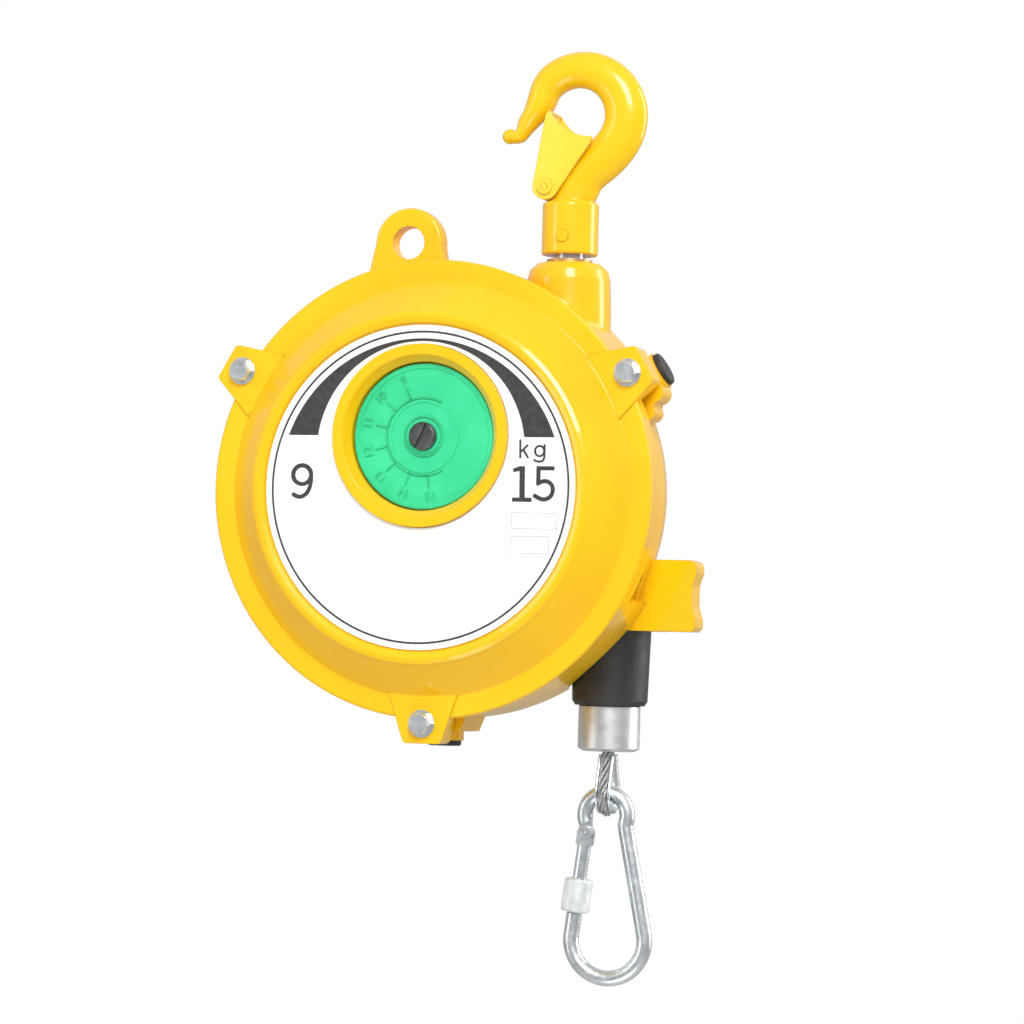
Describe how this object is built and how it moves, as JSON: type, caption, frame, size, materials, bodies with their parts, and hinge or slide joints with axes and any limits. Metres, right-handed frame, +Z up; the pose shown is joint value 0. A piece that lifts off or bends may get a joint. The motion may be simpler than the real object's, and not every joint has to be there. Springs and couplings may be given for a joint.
{
  "type": "tool balancer",
  "caption": "Spring tool balancer with a swivelling safety hook, cast round housing, setting dial, wire rope and screw-gate carabiner.",
  "frame": {"origin": "seat of the hook's bowl, where the beam or trolley eye bears, in the hook's middle plane", "axes": "+Z up along the hang of the rope, +Y from the dial side to the back, +X to the side the rope leaves"},
  "size_m": [0.1892, 0.0821, 0.3698],
  "materials": {
    "cast_yellow": "glossy enamel on die-cast aluminium",
    "forged_yellow": "glossy enamel on forged steel",
    "latch_yellow": "glossy enamel on pressed steel",
    "label_white": "printed plastic plate",
    "dial_green": "moulded, with raised marks",
    "zinc_steel": "bright zinc plated",
    "bare_steel": "turned and oiled",
    "dark_steel": "black oxide",
    "spring_steel": "blued strip",
    "wire_rope": "galvanised strand",
    "bronze": "sintered bearing bronze",
    "gear_brass": "cut teeth",
    "drum_aluminium": "die cast, machined groove",
    "satin_aluminium": "turned, satin",
    "black_rubber": "moulded rubber",
    "white_nylon": "moulded nylon",
    "black_nylon": "moulded nylon"
  },
  "bodies": {
    "hook": {"suspension_hook": "forged_yellow", "hook_pin": "forged_yellow", "swivel_bolt": "bare_steel", "latch_rivet": "latch_yellow", "latch_spring": "spring_steel"},
    "housing": {"rear_housing": "cast_yellow", "front_cover": "cast_yellow", "label_plate": "label_white", "cover_bolts": "zinc_steel", "cover_washers": "zinc_steel", "dial_bush": "bronze", "front_shaft_bush": "bronze", "rear_shaft_bush": "bronze", "worm_bushes": "bronze", "rope_guide": "black_nylon", "swivel_bush": "bronze", "swivel_thrust_washer": "zinc_steel", "rubber_plugs": "black_rubber", "rope_lead": "wire_rope"},
    "latch": {"hook_latch": "latch_yellow"},
    "shaft": {"main_shaft": "bare_steel", "worm_wheel": "gear_brass", "wheel_key": "bare_steel", "arbor_key": "bare_steel", "spring_arbor": "bare_steel", "shaft_pinion": "gear_brass", "shaft_retaining_ring": "dark_steel", "power_spring": "spring_steel"},
    "worm": {"worm_shaft": "bare_steel"},
    "dial_unit": {"dial": "dial_green", "dial_spindle": "bare_steel", "dial_screw": "dark_steel", "dial_gear": "white_nylon"},
    "drum": {"rope_drum": "drum_aluminium", "rope_on_drum": "wire_rope", "drum_bush_front": "bronze", "drum_bush_rear": "bronze", "spring_cover": "zinc_steel", "spring_cover_screws": "zinc_steel"},
    "load_end": {"rubber_buffer": "black_rubber", "rope_stopper": "satin_aluminium", "rope_eye": "wire_rope", "thimble": "zinc_steel", "rope_fall": "wire_rope"},
    "carabiner": {"carabiner_body": "zinc_steel", "gate_rivet": "zinc_steel"},
    "gate": {"carabiner_gate": "zinc_steel", "gate_thread": "zinc_steel"},
    "sleeve": {"screw_sleeve": "zinc_steel"}
  },
  "joints": [
    {"name": "hook_swivel", "type": "hinge", "parent": "hook", "child": "housing", "pos_m": [-0.0021, 0, -0.0716], "axis": [0, 0, 1], "continuous": true},
    {"name": "latch_hinge", "type": "hinge", "parent": "hook", "child": "latch", "pos_m": [-0.0106, 0, -0.0402], "axis": [0, 1, 0], "range_deg": [0, 26], "stiffness_Nm_per_rad": 0.06, "springref_deg": -28.65},
    {"name": "setting_shaft_spin", "type": "hinge", "parent": "housing", "child": "shaft", "pos_m": [-0.0471, 0, -0.1616], "axis": [0, -1, 0], "range_deg": [0, 350]},
    {"name": "worm_spin", "type": "hinge", "parent": "housing", "child": "worm", "pos_m": [-0.09245, -0.019, -0.1616], "axis": [0, 0, 1], "range_deg": [0, 17500]},
    {"name": "dial_spin", "type": "hinge", "parent": "housing", "child": "dial_unit", "pos_m": [-0.0471, -0.037, -0.1416], "axis": [0, 1, 0], "range_deg": [0, 160]},
    {"name": "drum_spin", "type": "hinge", "parent": "housing", "child": "drum", "pos_m": [-0.0471, 0, -0.1616], "axis": [0, 1, 0], "range_deg": [0, 1350]},
    {"name": "cable_pull", "type": "slide", "parent": "housing", "child": "load_end", "axis": [0, 0, -1], "range_m": [0, 1.3], "stiffness_N_per_m": 4, "springref_m": -4, "deforming": ["rope_fall", "rope_lead"]},
    {"name": "carabiner_swing", "type": "hinge", "parent": "load_end", "child": "carabiner", "pos_m": [0.0149, 0.01605, -0.2791], "axis": [1, 0, 0], "range_deg": [-60, 60]},
    {"name": "gate_hinge", "type": "hinge", "parent": "carabiner", "child": "gate", "pos_m": [0.00659, 0.01605, -0.29539], "axis": [0, -1, 0], "range_deg": [0, 22], "stiffness_Nm_per_rad": 0.03, "springref_deg": -28.65},
    {"name": "sleeve_slide", "type": "slide", "parent": "gate", "child": "sleeve", "axis": [-0.1225, 0, -0.9925], "range_m": [0, 0.004]}
  ],
  "couplings": [
    {"joint": "worm_spin", "follows": "setting_shaft_spin", "ratio": 50},
    {"joint": "dial_spin", "follows": "setting_shaft_spin", "ratio": 0.42857},
    {"joint": "drum_spin", "follows": "cable_pull", "rad_per_m": 18.125}
  ]
}
